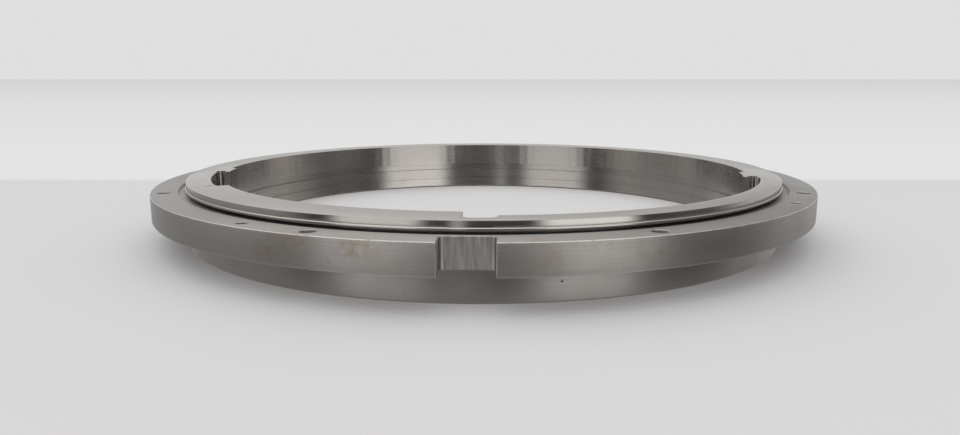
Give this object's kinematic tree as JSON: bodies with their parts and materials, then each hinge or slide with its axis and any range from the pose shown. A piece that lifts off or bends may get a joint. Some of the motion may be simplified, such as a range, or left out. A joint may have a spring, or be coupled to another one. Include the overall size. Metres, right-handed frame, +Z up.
{
  "type": "slewing ring bearing",
  "caption": "Thin slewing ring bearing: flanged outer ring with bolt circle and key slot, headed inner ring with toothed bore, caged balls and two seals.",
  "frame": {"origin": "on the ring's axis, in the plane of the outer ring's lower face", "axes": "+Z up along the axis of rotation, through the bolt circle; the key slot in the flange faces -Y"},
  "size_m": [0.3, 0.2999, 0.0272],
  "materials": {
    "outer_steel": "turned and ground bearing steel, oiled, faint brown staining",
    "inner_steel": "fine turned top face, polished outer wall, ground bore",
    "plug_steel": "turned flush with the rim",
    "pin_steel": "ground dowel",
    "ball_steel": "polished bearing balls",
    "cage_plastic": "natural nylon",
    "seal_rubber": "black nitrile rubber"
  },
  "bodies": {
    "outer": {"outer_ring": "outer_steel", "upper_seal": "seal_rubber", "lower_seal": "seal_rubber", "loading_plug": "plug_steel", "plug_pin": "pin_steel"},
    "inner": {"inner_ring": "inner_steel"},
    "rolling_set": {"cage_segment_01": "cage_plastic", "cage_segment_02": "cage_plastic", "cage_segment_03": "cage_plastic", "cage_segment_04": "cage_plastic", "cage_segment_05": "cage_plastic", "cage_segment_06": "cage_plastic", "cage_segment_07": "cage_plastic", "cage_segment_08": "cage_plastic", "cage_segment_09": "cage_plastic", "cage_segment_10": "cage_plastic", "cage_segment_11": "cage_plastic", "cage_segment_12": "cage_plastic", "ball_set_01": "ball_steel", "ball_set_02": "ball_steel", "ball_set_03": "ball_steel", "ball_set_04": "ball_steel", "ball_set_05": "ball_steel", "ball_set_06": "ball_steel", "ball_set_07": "ball_steel", "ball_set_08": "ball_steel", "ball_set_09": "ball_steel", "ball_set_10": "ball_steel", "ball_set_11": "ball_steel", "ball_set_12": "ball_steel"}
  },
  "joints": [
    {"name": "inner_ring_spin", "type": "hinge", "parent": "outer", "child": "inner", "pos_m": [0, 0, 0.0172], "axis": [0, 0, 1], "continuous": true},
    {"name": "rolling_set_spin", "type": "hinge", "parent": "outer", "child": "rolling_set", "pos_m": [0, 0, 0.0172], "axis": [0, 0, 1], "continuous": true}
  ],
  "couplings": [
    {"joint": "rolling_set_spin", "follows": "inner_ring_spin", "ratio": 0.492}
  ]
}
